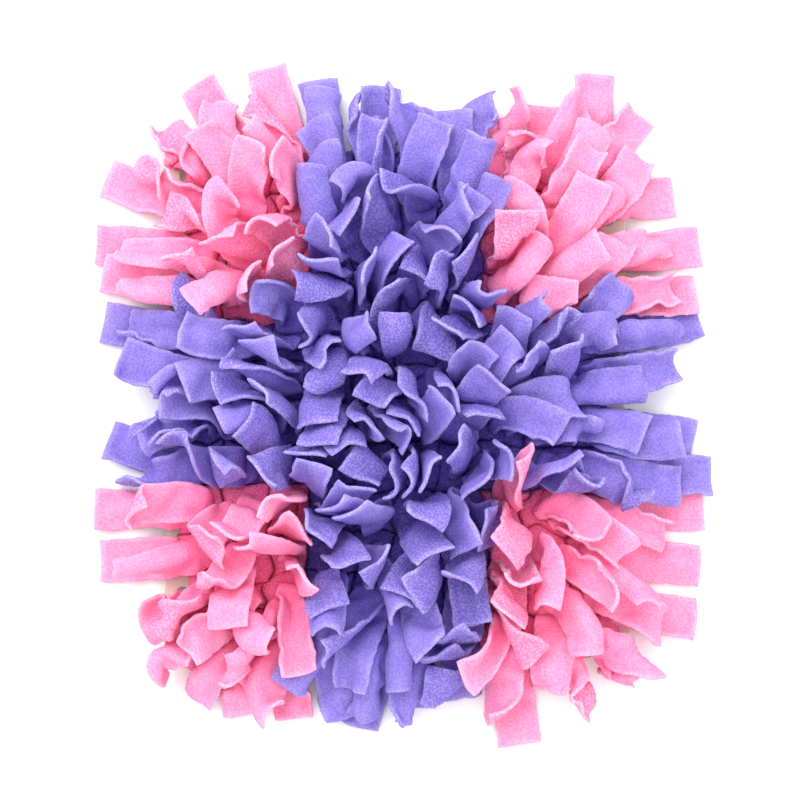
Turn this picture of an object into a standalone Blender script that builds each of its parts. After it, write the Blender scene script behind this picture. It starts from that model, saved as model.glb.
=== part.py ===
"""A snuffle mat: strips of fleece tied through the holes of a moulded base mat.

Each strip goes down one hole, under the bar between two holes and up the next, and is
knotted on top, which leaves two free tails. The knots of one colour stand close enough
to be one backing, so each block of colour is one solid: its knots, its loops through and
under the base mat, and its tails. Metres, +Z up, the origin on the floor at the middle.
"""

import math
import random

import bmesh
import bpy
from mathutils import Vector
from mathutils.bvhtree import BVHTree

# The base mat.
HOLE_PITCH = 0.0275
HOLE_COLUMNS = 11
HOLE_ROWS = 12
HOLE_RADIUS = 0.0055
HOLE_SIDES = 6
BASE_MARGIN = 0.0125
BASE_THICKNESS = 0.004
BASE_CORNER_RADIUS = 0.018
BASE_CORNER_STEPS = 4

# The fleece. A tail opens from its knot to the whole width of its strip. The solids take
# it as flat and as wide as a curled strip spans.
STRIP_WIDTH = 0.028
STRIP_SPAN = 0.024
TAIL_LENGTH = 0.072
RIM_TAIL_LENGTH = 0.080
SHORTEST_SHARE = 0.9
FLEECE_THICKNESS = 0.0028
KNOT_WIDTH = 0.012
KNOT_THICKNESS = 0.0055
KNOT_HEIGHT = 0.0075
TAIL_SPACING = 0.0052
ROOT_DEPTH = 0.0025
LOOP_THICKNESS = 0.0024
LOOP_WIDTH = 0.010
PLUG_WIDTH = 0.006
SUNK = 0.001
GAP = 0.0003

# Heights, from the floor up.
BASE_BOTTOM = LOOP_THICKNESS + GAP
BASE_TOP = BASE_BOTTOM + BASE_THICKNESS
BACKING_BOTTOM = BASE_TOP + GAP
BACKING_TOP = BACKING_BOTTOM + KNOT_HEIGHT

# The plan of the holes, the knots between them and the blocks of colour.
KNOT_COLUMNS = HOLE_COLUMNS - 1
HALF_HOLES_X = HOLE_PITCH * (HOLE_COLUMNS - 1) / 2
HALF_HOLES_Y = HOLE_PITCH * (HOLE_ROWS - 1) / 2
HALF_KNOTS_X = HOLE_PITCH * (KNOT_COLUMNS - 1) / 2
HALF_BASE_X = HALF_HOLES_X + BASE_MARGIN
HALF_BASE_Y = HALF_HOLES_Y + BASE_MARGIN
ARM_HALF_WIDTH = 2 * HOLE_PITCH
BACKING_MARGIN = 0.0085
FAN_POWER = 3

PINK_CORNERS = (("pink_corner_nw", -1, 1), ("pink_corner_ne", 1, 1),
                ("pink_corner_sw", -1, -1), ("pink_corner_se", 1, -1))
CROSS = "purple_cross"
BLOCKS = (CROSS, *(name for name, _, _ in PINK_CORNERS))

# The lower tails of the rim, by their knot's column and row and where their tip lies.
RIM_COLUMNS = ("column", "row", "tip_x", "tip_y", "height", "tip_lean")
RIM_TIPS = (
    (0, 11, -0.150, 0.188, 0.020, 88),
    (1, 11, -0.112, 0.214, 0.0018, 90),
    (2, 11, -0.087, 0.221, 0.016, 84),
    (3, 11, -0.064, 0.207, 0.012, 92),
    (4, 11, 0.000, 0.204, 0.0018, 90),
    (5, 11, 0.016, 0.200, 0.020, 96),
    (7, 11, 0.036, 0.203, 0.0018, 90),
    (6, 11, 0.052, 0.190, 0.024, 96),
    (8, 11, 0.086, 0.207, 0.0018, 90),
    (9, 11, 0.108, 0.220, 0.018, 80),
    (9, 10, 0.178, 0.147, 0.0018, 90),
    (9, 9, 0.194, 0.107, 0.0018, 90),
    (9, 8, 0.183, 0.064, 0.008, 96),
    (9, 7, 0.194, 0.041, 0.0018, 90),
    (9, 6, 0.152, 0.034, 0.034, 100),
    (9, 5, 0.188, -0.018, 0.0018, 90),
    (9, 4, 0.202, -0.044, 0.010, 104),
    (9, 3, 0.198, -0.060, 0.005, 92),
    (9, 2, 0.198, -0.090, 0.0018, 90),
    (9, 1, 0.194, -0.126, 0.0018, 90),
    (9, 0, 0.166, -0.168, 0.008, 92),
    (8, 0, 0.098, -0.190, 0.020, 104),
    (7, 0, 0.079, -0.220, 0.0018, 90),
    (6, 0, 0.050, -0.204, 0.008, 96),
    (5, 0, 0.019, -0.214, 0.0018, 90),
    (4, 0, -0.020, -0.219, 0.0018, 90),
    (3, 0, -0.042, -0.200, 0.012, 96),
    (2, 0, -0.058, -0.211, 0.0018, 90),
    (1, 0, -0.106, -0.210, 0.0018, 90),
    (0, 0, -0.137, -0.184, 0.008, 96),
    (0, 1, -0.178, -0.146, 0.002, 90),
    (0, 2, -0.193, -0.118, 0.0018, 90),
    (0, 3, -0.197, -0.078, 0.0018, 90),
    (0, 4, -0.190, -0.034, 0.0018, 90),
    (0, 5, -0.160, -0.034, 0.034, 100),
    (0, 6, -0.162, 0.012, 0.026, 96),
    (0, 7, -0.188, 0.041, 0.0018, 90),
    (0, 8, -0.190, 0.070, 0.008, 96),
    (0, 9, -0.200, 0.100, 0.0018, 90),
    (0, 10, -0.194, 0.130, 0.0018, 90),
)

# The stations along a tail, those where its solid has a section, and where it has opened.
STATIONS = 12
RIM_SECTIONS = (0, 2, 5, 9, 12)
INNER_SECTIONS = (0, 4, 8, 12)
CURLED_STATIONS = (0, 2, 4, 6, 8, 10, 12)
OPEN_SHARE = 0.35
RIM_ROOT_LEAN = 44
HANDLE_STEPS = 4
MIN_HANDLE = 0.012
MAX_HANDLE = 0.045

# The fan that the tails start from: its leans at the rim, in degrees, and how far in
# from the rim they fall to a third or so.
ROOT_LEAN = 40
TIP_LEAN = 105
ROOT_LEAN_REACH = 0.045
TIP_LEAN_REACH = 0.050
RIM_BLEND = 0.020

# How far each thing about a tail may stray from the fan, and how far one shake moves it.
# Leans and bend are in degrees, face and twist in radians; curl and wave are the turn
# across the strip, in radians, of a C and of an S; lift is in metres.
STRAY_COLUMNS = ("what", "most", "shake")
STRAYS = (
    ("root_lean_x", 14, 5),
    ("root_lean_y", 14, 5),
    ("tip_lean_x", 45, 16),
    ("tip_lean_y", 45, 16),
    ("face", 0.7, 0.25),
    ("bend", 110, 25),
    ("twist", 1.1, 0.35),
    ("curl", 2.4, 0.6),
    ("wave", 2.0, 0.5),
)
RIM_STRAYS = (
    ("root_lean", 28, 10),
    ("swing", 0.12, 0.05),
    ("lift", 0.014, 0.006),
    ("twist", 0.7, 0.3),
    ("curl", 1.5, 0.6),
    ("wave", 1.0, 0.4),
)
LEAN_STRAY_BY_RING = (0.35, 0.60, 0.85, 1.0, 1.0)
KNOT_TURN = (0.0, 0.26, 0.2, 0.2, 0.2)
SHAKES = 40
MAX_SHAKES = 90
SHAKE_SIZES = (2.5, 1.2, 0.5)
NEIGHBOUR_REACH = 0.15
CURL_STEPS = 16
CURL_COLUMNS = 5
CURL_CLEARANCE = 0.0012
ROOM = 0.0003
EDGE_ROOM = 0.002
SEED = 5

# Linear colours.
PURPLE = (0.255, 0.191, 0.665)
PINK = (0.965, 0.314, 0.617)
CREAM = (0.82, 0.76, 0.66)


def clear_scene():
    for obj in list(bpy.data.objects):
        bpy.data.objects.remove(obj)


def material(name, colour, roughness):
    made = bpy.data.materials.new(name)
    made.use_nodes = True
    shader = made.node_tree.nodes["Principled BSDF"]
    shader.inputs["Base Color"].default_value = (*colour, 1)
    shader.inputs["Roughness"].default_value = roughness
    shader.inputs["Metallic"].default_value = 0.0
    return made


def add_object(name, mesh_builder, finish=None):
    """A named object from a bmesh, or a helper for a Boolean where it has no finish."""
    mesh = bpy.data.meshes.new(name)
    bmesh.ops.recalc_face_normals(mesh_builder, faces=mesh_builder.faces)
    mesh_builder.to_mesh(mesh)
    mesh_builder.free()
    obj = bpy.data.objects.new(name, mesh)
    bpy.context.scene.collection.objects.link(obj)
    if finish:
        mesh.materials.append(finish)
    else:
        obj.hide_render = True
        obj.display_type = "WIRE"
    return obj


def add_prism(bm, outline, bottom, top):
    """An upright prism over a flat outline of (x, y) points."""
    lower = [bm.verts.new((x, y, bottom)) for x, y in outline]
    upper = [bm.verts.new((x, y, top)) for x, y in outline]
    bm.faces.new(lower[::-1])
    bm.faces.new(upper)
    for i, corner in enumerate(lower):
        after = (i + 1) % len(lower)
        bm.faces.new((corner, lower[after], upper[after], upper[i]))


def rectangle(x0, x1, y0, y1):
    return [(x0, y0), (x1, y0), (x1, y1), (x0, y1)]


def regular_polygon(x, y, radius, sides):
    turns = [2 * math.pi * i / sides for i in range(sides)]
    return [(x + radius * math.cos(t), y + radius * math.sin(t)) for t in turns]


def rounded_rectangle(half_x, half_y, radius, steps):
    outline = []
    for quarter, (sx, sy) in enumerate(((1, 1), (-1, 1), (-1, -1), (1, -1))):
        for i in range(steps + 1):
            turn = math.pi / 2 * (quarter + i / steps)
            outline.append((sx * (half_x - radius) + radius * math.cos(turn),
                            sy * (half_y - radius) + radius * math.sin(turn)))
    return outline


def boolean(obj, operand, operation):
    modifier = obj.modifiers.new(operand.name, "BOOLEAN")
    modifier.operation = operation
    modifier.object = operand
    modifier.solver = "EXACT"


def hole_x(column):
    return column * HOLE_PITCH - HALF_HOLES_X


def hole_y(row):
    return row * HOLE_PITCH - HALF_HOLES_Y


def knot_x(column):
    return column * HOLE_PITCH - HALF_KNOTS_X


def block_of(x, y):
    """The block of colour that a knot at this place belongs to."""
    if abs(x) < ARM_HALF_WIDTH or abs(y) < ARM_HALF_WIDTH:
        return CROSS
    return next(name for name, sx, sy in PINK_CORNERS if sx * x > 0 and sy * y > 0)


def knots():
    """(x, y, ring) of each knot. Ring 0 is the rim."""
    for row in range(HOLE_ROWS):
        for column in range(KNOT_COLUMNS):
            ring = min(row, column, HOLE_ROWS - 1 - row, KNOT_COLUMNS - 1 - column)
            yield knot_x(column), hole_y(row), ring


def rim_tip(x, y):
    """Where the lower tail of this knot at the rim lies, from the table of rim tips."""
    for row in RIM_TIPS:
        tip = dict(zip(RIM_COLUMNS, row))
        away_x, away_y = x - knot_x(tip["column"]), y - hole_y(tip["row"])
        if math.hypot(away_x, away_y) < HOLE_PITCH / 2:
            return tip
    raise LookupError("no tip for this knot")


def outward(x, y):
    """The azimuth that faces out of the mat: square to a side, and slanting at a corner."""
    u, v = x / HALF_BASE_X, y / HALF_BASE_Y
    return math.atan2(math.copysign(abs(v) ** (FAN_POWER - 1), v),
                      math.copysign(abs(u) ** (FAN_POWER - 1), u))


def curve_controls(root_lean, reach, height, tip_lean):
    """The four control points, out and up, of the curve that a tail of the rim lies in.

    The two inner ones move out until the curve is about as long as the tail.
    """
    root = Vector((0, BACKING_TOP - ROOT_DEPTH))
    tip = Vector((reach, height))
    leans = math.radians(root_lean), math.radians(tip_lean)
    leaves = Vector((math.sin(leans[0]), math.cos(leans[0])))
    arrives = Vector((math.sin(leans[1]), math.cos(leans[1])))
    chord = (tip - root).length
    handle = chord / 3
    for _ in range(HANDLE_STEPS):
        span = (tip - arrives * handle - root - leaves * handle).length
        shortage = RIM_TAIL_LENGTH - (chord + 2 * handle + span) / 2
        handle = min(max(handle + shortage / 2, MIN_HANDLE), MAX_HANDLE)
    return root, root + leaves * handle, tip - arrives * handle, tip


def curve_point(controls, share):
    """A point, out and up, on the curve that a tail lies in, and its lean there."""
    p0, p1, p2, p3 = controls
    s, r = share, 1 - share
    point = r ** 3 * p0 + 3 * r * r * s * p1 + 3 * r * s * s * p2 + s ** 3 * p3
    slope = r * r * (p1 - p0) + 2 * r * s * (p2 - p1) + s * s * (p3 - p2)
    return point.x, point.y, math.atan2(slope.x, slope.y)


def heading(azimuth):
    return Vector((math.cos(azimuth), math.sin(azimuth), 0))


def rim_line(tail):
    """(centre, along) at each station of a lower tail of the rim, which has a set tip."""
    tip = rim_tip(tail["x"], tail["y"])
    away_x, away_y = tip["tip_x"] - tail["x"], tip["tip_y"] - tail["y"]
    away = heading(math.atan2(away_y, away_x) + tail["swing"])
    root = Vector((tail["x"], tail["y"], 0)) + heading(tail["axis"]) * TAIL_SPACING
    controls = curve_controls(tail["root_lean"], math.hypot(away_x, away_y) - TAIL_SPACING,
                              tip["height"] + tail["lift"], tip["tip_lean"])
    line = []
    for station in range(STATIONS + 1):
        out, up, lean = curve_point(controls, station / STATIONS)
        line.append((root + away * out + Vector((0, 0, up)),
                     away * math.sin(lean) + Vector((0, 0, math.cos(lean)))))
    return line


def free_line(tail):
    """(centre, along) at each station of any other tail, from its leans and its bend."""
    place = Vector((tail["x"], tail["y"], BACKING_TOP - ROOT_DEPTH))
    place += heading(tail["axis"]) * TAIL_SPACING * tail["side"]
    root_lean = Vector((tail["root_lean_x"], tail["root_lean_y"], 0))
    tip_lean = Vector((tail["tip_lean_x"], tail["tip_lean_y"], 0))
    bend = heading(tail["face"]) * tail["bend"]
    line = []
    for station in range(STATIONS + 1):
        share = station / STATIONS
        lean = root_lean * (1 - share) + tip_lean * share + bend * share * share
        turn = math.radians(lean.length)
        along = lean.normalized() * math.sin(turn) + Vector((0, 0, math.cos(turn)))
        line.append((place.copy(), along))
        place += along * tail["length"] / STATIONS
    return line


def frames(tail):
    """(centre, along, across, normal, spread) at each station of a tail."""
    made = []
    for station, (centre, along) in enumerate((rim_line if tail["rim"] else free_line)(tail)):
        share = station / STATIONS
        spread = min(share / OPEN_SHARE, 1)
        spread *= 2 - spread
        turn = tail["axis"] * (1 - spread) + tail["face"] * spread + tail["twist"] * share
        level = Vector((-math.sin(turn), math.cos(turn), 0))
        across = (level - along * level.dot(along)).normalized()
        made.append((centre, along, across, across.cross(along), spread))
    return made


def flat_sections(tail, made, room=0):
    """The four corners of each section of a tail's solid, with room added around it."""
    sections = []
    for station in RIM_SECTIONS if tail["ring"] == 0 else INNER_SECTIONS:
        centre, along, across, normal, spread = made[station]
        width = KNOT_WIDTH + (STRIP_SPAN - KNOT_WIDTH) * spread
        deep = KNOT_THICKNESS + (FLEECE_THICKNESS - KNOT_THICKNESS) * spread
        side = across * (width / 2 + room)
        face = normal * (deep / 2 + room)
        centre = centre + along * room * (station == STATIONS)
        sections.append([centre - side - face, centre + side - face,
                         centre + side + face, centre - side + face])
    return sections


def curl_profile(curl, wave):
    """Points across a curled strip of width 1, about their own middle."""
    points = [(0.0, 0.0)]
    for step in range(CURL_STEPS):
        u = (step + 0.5) / CURL_STEPS - 0.5
        turn = curl * u + wave * (3 * u * u - 0.25)
        points.append((points[-1][0] + math.cos(turn) / CURL_STEPS,
                       points[-1][1] + math.sin(turn) / CURL_STEPS))
    middle = [sum(p[axis] for p in points) / len(points) for axis in (0, 1)]
    return [(x - middle[0], z - middle[1]) for x, z in points]


def curled_rows(tail, made, stations, columns, offset=0.0):
    """Rows of points over a curled tail, a distance off along its normal."""
    profile = curl_profile(tail["curl"], tail["wave"])
    rows = []
    for station in stations:
        centre, along, across, normal, spread = made[station]
        width = KNOT_WIDTH + (STRIP_WIDTH - KNOT_WIDTH) * spread
        curled = spread * min(1, 0.3 + 1.6 * station / STATIONS)
        row = []
        for column in range(columns):
            place = column / (columns - 1) * CURL_STEPS
            step = min(int(place), CURL_STEPS - 1)
            (x0, z0), (x1, z1) = profile[step:step + 2]
            x = (x0 + (x1 - x0) * (place - step)) * curled
            x += (place / CURL_STEPS - 0.5) * (1 - curled)
            z = (z0 + (z1 - z0) * (place - step)) * curled
            slope_x = (x1 - x0) * curled + (1 - curled) / CURL_STEPS
            slope_z = (z1 - z0) * curled
            slope = math.hypot(slope_x, slope_z)
            row.append(centre + across * (x * width - slope_z / slope * offset)
                       + normal * (z * width + slope_x / slope * offset))
        rows.append(row)
    return rows


def add_tail(bm, sections):
    """A four-sided band. Its two broad sides are split along the same diagonal."""
    rings = [[bm.verts.new(p) for p in section] for section in sections]
    bm.faces.new(rings[0])
    bm.faces.new(rings[-1][::-1])
    for lower, upper in zip(rings, rings[1:]):
        for i in range(4):
            after = (i + 1) % 4
            if i < 2:
                bm.faces.new((lower[i], lower[after], upper[after]))
                bm.faces.new((lower[i], upper[after], upper[i]))
            else:
                bm.faces.new((lower[i], lower[after], upper[i]))
                bm.faces.new((lower[after], upper[after], upper[i]))


def tree_of(builder):
    builder.normal_update()
    tree = BVHTree.FromBMesh(builder)
    builder.free()
    return tree


def flat_tree(sections):
    bm = bmesh.new()
    add_tail(bm, sections)
    return tree_of(bm)


def loops_tree(loops):
    """A tree over a closed skin through loops of points, capped at both ends."""
    count = len(loops[0])
    faces = []
    for row in range(len(loops) - 1):
        for i in range(count):
            a, b = row * count + i, row * count + (i + 1) % count
            faces += [(a, b, b + count), (a, b + count, a + count)]
    for start in (0, (len(loops) - 1) * count):
        for i in range(count // 2 - 1):
            far = start + count - 1 - i
            faces += [(start + i, start + i + 1, far - 1), (start + i, far - 1, far)]
    return BVHTree.FromPolygons([point for loop in loops for point in loop], faces)


def prism_tree(outline, bottom, top):
    bm = bmesh.new()
    add_prism(bm, outline, bottom, top)
    return tree_of(bm)


def grounds():
    """The base mat and the knots together, with the room that cloth keeps from them."""
    base_x, base_y = HALF_BASE_X + EDGE_ROOM, HALF_BASE_Y + EDGE_ROOM
    knots_x, knots_y = HALF_HOLES_X + BACKING_MARGIN, HALF_HOLES_Y + BACKING_MARGIN
    return [prism_tree(rectangle(-base_x, base_x, -base_y, base_y),
                       0, BASE_TOP + EDGE_ROOM),
            prism_tree(rectangle(-knots_x, knots_x, -knots_y, knots_y),
                       BASE_BOTTOM, BACKING_TOP + GAP)]


def rim_distance(x, y):
    """How far a place is in from the rim of the knots, rounded where two sides meet."""
    in_x = HALF_HOLES_X + TAIL_SPACING - abs(x)
    in_y = HALF_HOLES_Y + TAIL_SPACING - abs(y)
    near = max(RIM_BLEND - abs(in_x - in_y), 0) / RIM_BLEND
    return max(0, min(in_x, in_y) - near * near * RIM_BLEND / 4)


def fan():
    """Every tail as it starts: upright in the middle, and leaning out towards the rim."""
    chance = random.Random(SEED)
    tails = []
    for x, y, ring in knots():
        axis = outward(x, y) if ring < 2 else chance.choice((0, math.pi / 2))
        axis += chance.uniform(-1, 1) * KNOT_TURN[ring]
        for side in (1, -1):
            place = heading(axis) * side * HOLE_PITCH / 4
            inwards = rim_distance(x + place.x, y + place.y)
            away = heading(outward(x + place.x, y + place.y))
            root = away * ROOT_LEAN * math.exp(-inwards / ROOT_LEAN_REACH)
            tip = away * TIP_LEAN * math.exp(-inwards / TIP_LEAN_REACH)
            tails.append({
                "x": x, "y": y, "ring": ring, "side": side, "rim": ring == 0 and side > 0,
                "axis": axis, "face": axis, "twist": 0.0, "bend": 0.0, "lift": 0.0,
                "root_lean": RIM_ROOT_LEAN, "swing": 0.0,
                "curl": chance.uniform(-1, 1) * 0.4, "wave": 0.0,
                "root_lean_x": root.x, "root_lean_y": root.y,
                "tip_lean_x": tip.x, "tip_lean_y": tip.y,
                "length": TAIL_LENGTH * chance.uniform(SHORTEST_SHARE, 1)})
    return tails


def body_of(tail, solid_trees):
    """The room a tail takes: as its flat solid, and as the curled strip that it is."""
    made = frames(tail)
    sections = flat_sections(tail, made, ROOM)
    lower = curled_rows(tail, made, CURLED_STATIONS, CURL_COLUMNS, -CURL_CLEARANCE)
    upper = curled_rows(tail, made, CURLED_STATIONS, CURL_COLUMNS, CURL_CLEARANCE)
    loops = [below + above[::-1] for below, above in zip(lower, upper)]
    points = [p for row in sections + loops for p in row]
    box = [(min(p[axis] for p in points), max(p[axis] for p in points)) for axis in range(3)]
    free = [flat_tree(sections[1:]), loops_tree(loops[3:])]
    clear = box[2][0] > 0 and not any(tree.overlap(ground)
                                      for tree in free for ground in solid_trees)
    return {"box": box, "trees": (flat_tree(sections), loops_tree(loops)), "clear": clear}


def meet(one, other):
    return (all(a[0] < b[1] and b[0] < a[1] for a, b in zip(one["box"], other["box"]))
            and any(a.overlap(b) for a, b in zip(one["trees"], other["trees"])))


def shaken(chance, tail, start, size):
    """A tail moved a little by chance, but never far from how it started."""
    moved = dict(tail)
    for what, most, shake in RIM_STRAYS if tail["rim"] else STRAYS:
        if what.endswith(("_x", "_y")):
            most *= LEAN_STRAY_BY_RING[tail["ring"]]
        least = 0 if what == "lift" else -most
        stray = tail[what] - start[what] + chance.gauss(0, shake) * size
        moved[what] = start[what] + max(least, min(most, stray))
    return moved


def make_tails():
    """Every tail, shaken by chance again and again, with no two ever brought to meet."""
    chance = random.Random(SEED)
    starts = fan()
    solid_trees = grounds()
    tails = list(starts)
    bodies = [body_of(tail, solid_trees) for tail in tails]
    near = [[j for j, other in enumerate(tails) if i != j and
             math.hypot(tail["x"] - other["x"], tail["y"] - other["y"]) < NEIGHBOUR_REACH]
            for i, tail in enumerate(tails)]

    def faults(index, body):
        return (not body["clear"]) + sum(meet(body, bodies[j]) for j in near[index])

    order = list(range(len(tails)))
    for turn in range(MAX_SHAKES):
        if turn >= SHAKES and not any(faults(i, bodies[i]) for i in order):
            break
        chance.shuffle(order)
        for i in order:
            for size in SHAKE_SIZES:
                moved = shaken(chance, tails[i], starts[i], size)
                body = body_of(moved, solid_trees)
                found = faults(i, body)
                if found and found >= faults(i, bodies[i]):
                    continue
                tails[i], bodies[i] = moved, body
                break
    else:
        raise RuntimeError("some tails still meet")
    return tails


def backing_outline(block):
    edge_x = HALF_HOLES_X + BACKING_MARGIN
    edge_y = HALF_HOLES_Y + BACKING_MARGIN
    arm = ARM_HALF_WIDTH - GAP
    if block == CROSS:
        quarter = [(edge_x, arm), (arm, arm), (arm, edge_y)]
        outline = []
        for sx, sy in ((1, 1), (-1, 1), (-1, -1), (1, -1)):
            corner = [(sx * x, sy * y) for x, y in quarter]
            outline += corner if sx * sy > 0 else corner[::-1]
        return outline
    sx, sy = next((sx, sy) for name, sx, sy in PINK_CORNERS if name == block)
    near, cut = ARM_HALF_WIDTH + GAP, BASE_CORNER_RADIUS / 2
    corner = [(near, near), (edge_x, near), (edge_x, edge_y - cut),
              (edge_x - cut, edge_y), (near, edge_y)]
    outline = [(sx * x, sy * y) for x, y in corner]
    return outline if sx * sy > 0 else outline[::-1]


def spans(row):
    """(block, first hole column, last hole column) of each run of loops along a row."""
    if abs(hole_y(row)) < ARM_HALF_WIDTH:
        return [(CROSS, 0, HOLE_COLUMNS - 1)]
    side = "n" if hole_y(row) > 0 else "s"
    inner = round((HALF_HOLES_X - ARM_HALF_WIDTH) / HOLE_PITCH)
    return [(f"pink_corner_{side}w", 0, inner),
            (CROSS, inner, HOLE_COLUMNS - 1 - inner),
            (f"pink_corner_{side}e", HOLE_COLUMNS - 1 - inner, HOLE_COLUMNS - 1)]


def make_loops(block):
    """(plugs, runs): the fleece in the holes, and the fleece under the base mat."""
    plugs, runs = bmesh.new(), bmesh.new()
    for row in range(HOLE_ROWS):
        y = hole_y(row)
        for name, first, last in spans(row):
            if name != block:
                continue
            x0 = hole_x(first) + (GAP if first else -PLUG_WIDTH)
            x1 = hole_x(last) - (GAP if last < HOLE_COLUMNS - 1 else -PLUG_WIDTH)
            add_prism(runs, rectangle(x0, x1, y - LOOP_WIDTH / 2, y + LOOP_WIDTH / 2),
                      0, LOOP_THICKNESS)
            for column in range(first, last + 1):
                left = max(hole_x(column) - PLUG_WIDTH / 2, x0 + GAP)
                right = min(hole_x(column) + PLUG_WIDTH / 2, x1 - GAP)
                add_prism(plugs, rectangle(left, right, y - PLUG_WIDTH / 2,
                                           y + PLUG_WIDTH / 2),
                          LOOP_THICKNESS - SUNK, BACKING_BOTTOM + SUNK)
    return plugs, runs


def make_base(finish):
    plate = bmesh.new()
    add_prism(plate, rounded_rectangle(HALF_BASE_X, HALF_BASE_Y, BASE_CORNER_RADIUS,
                                       BASE_CORNER_STEPS), BASE_BOTTOM, BASE_TOP)
    cutters = bmesh.new()
    for row in range(HOLE_ROWS):
        for column in range(HOLE_COLUMNS):
            add_prism(cutters, regular_polygon(hole_x(column), hole_y(row), HOLE_RADIUS,
                                               HOLE_SIDES),
                      BASE_BOTTOM - SUNK, BASE_TOP + SUNK)
    base = add_object("base_mat", plate, finish)
    boolean(base, add_object("hole_cutters", cutters), "DIFFERENCE")


def make_block(block, tails, finish):
    backing = bmesh.new()
    add_prism(backing, backing_outline(block), BACKING_BOTTOM, BACKING_TOP)
    strands = bmesh.new()
    for tail in tails:
        add_tail(strands, flat_sections(tail, frames(tail)))
    plugs, runs = make_loops(block)
    solid = add_object(block, backing, finish)
    boolean(solid, add_object(f"{block}_tails", strands), "UNION")
    boolean(solid, add_object(f"{block}_plugs", plugs), "UNION")
    boolean(solid, add_object(f"{block}_runs", runs), "UNION")


def main():
    clear_scene()
    purple = material("purple_fleece", PURPLE, 0.95)
    pink = material("pink_fleece", PINK, 0.95)
    cream = material("cream_rubber", CREAM, 0.6)
    tails = make_tails()
    make_base(cream)
    for block in BLOCKS:
        own = [tail for tail in tails if block_of(tail["x"], tail["y"]) == block]
        make_block(block, own, purple if block == CROSS else pink)


if __name__ == "__main__":
    main()
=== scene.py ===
"""A snuffle mat of knotted fleece strips on a moulded rubber base mat.

Each strip goes down one hole of the base mat, under the bar between two holes and up
the next, and is knotted on top, which leaves two free tails. The tails are laid by
chance with no two touching, then settle as cloth, which brings a few into slight contact,
and are then given their thickness. Metres, +Z up, the origin on the floor at the middle.
"""

import math
import random

import bmesh
import bpy
import numpy as np
from bpy.props import FloatProperty, FloatVectorProperty, IntProperty, PointerProperty
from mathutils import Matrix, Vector, noise
from mathutils.bvhtree import BVHTree


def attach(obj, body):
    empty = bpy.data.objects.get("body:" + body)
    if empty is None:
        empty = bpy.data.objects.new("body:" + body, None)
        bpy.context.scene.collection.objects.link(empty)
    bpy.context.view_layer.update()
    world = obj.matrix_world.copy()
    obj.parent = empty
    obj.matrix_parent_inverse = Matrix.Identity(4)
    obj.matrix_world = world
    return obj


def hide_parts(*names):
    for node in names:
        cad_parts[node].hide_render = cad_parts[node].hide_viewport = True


bl_info = {
    "name": "Snuffle mat",
    "version": (1, 0, 0),
    "blender": (4, 5, 0),
    "location": "3D View > Sidebar > Snuffle mat",
    "description": "Builds a snuffle mat of fleece strips knotted through a holed base mat",
    "category": "Add Mesh",
}

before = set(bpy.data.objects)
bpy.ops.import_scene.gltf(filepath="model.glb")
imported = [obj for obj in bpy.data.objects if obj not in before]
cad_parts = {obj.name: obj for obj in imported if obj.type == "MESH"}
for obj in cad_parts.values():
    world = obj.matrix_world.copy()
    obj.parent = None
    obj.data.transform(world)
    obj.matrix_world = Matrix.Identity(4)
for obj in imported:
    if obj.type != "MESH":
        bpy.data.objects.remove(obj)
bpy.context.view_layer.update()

# The base mat.
HOLE_PITCH = 0.0275
HOLE_COLUMNS = 11
HOLE_ROWS = 12
HOLE_RADIUS = 0.0055
BASE_MARGIN = 0.0125
BASE_THICKNESS = 0.004
BASE_CORNER_RADIUS = 0.018

# The fleece. A tail opens from its knot to the whole width of its strip.
STRIP_WIDTH = 0.028
TAIL_LENGTH = 0.072
RIM_TAIL_LENGTH = 0.080
SHORTEST_SHARE = 0.9
KNOT_WIDTH = 0.012
KNOT_THICKNESS = 0.0050
KNOT_HEIGHT = 0.0075
TAIL_SPACING = 0.0052
ROOT_DEPTH = 0.0025
LOOP_THICKNESS = 0.0024
LOOP_WIDTH = 0.0088
GAP = 0.0003

# Heights, from the floor up.
BASE_BOTTOM = LOOP_THICKNESS + GAP
BASE_TOP = BASE_BOTTOM + BASE_THICKNESS
BACKING_BOTTOM = BASE_TOP + GAP
BACKING_TOP = BACKING_BOTTOM + KNOT_HEIGHT

# The plan of the holes, the knots between them and the blocks of colour.
KNOT_COLUMNS = HOLE_COLUMNS - 1
HALF_HOLES_X = HOLE_PITCH * (HOLE_COLUMNS - 1) / 2
HALF_HOLES_Y = HOLE_PITCH * (HOLE_ROWS - 1) / 2
HALF_KNOTS_X = HOLE_PITCH * (KNOT_COLUMNS - 1) / 2
HALF_BASE_X = HALF_HOLES_X + BASE_MARGIN
HALF_BASE_Y = HALF_HOLES_Y + BASE_MARGIN
ARM_HALF_WIDTH = 2 * HOLE_PITCH
BACKING_MARGIN = 0.0085
FAN_POWER = 3

PINK_CORNERS = (("pink_corner_nw", -1, 1), ("pink_corner_ne", 1, 1),
                ("pink_corner_sw", -1, -1), ("pink_corner_se", 1, -1))
CROSS = "purple_cross"

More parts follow.
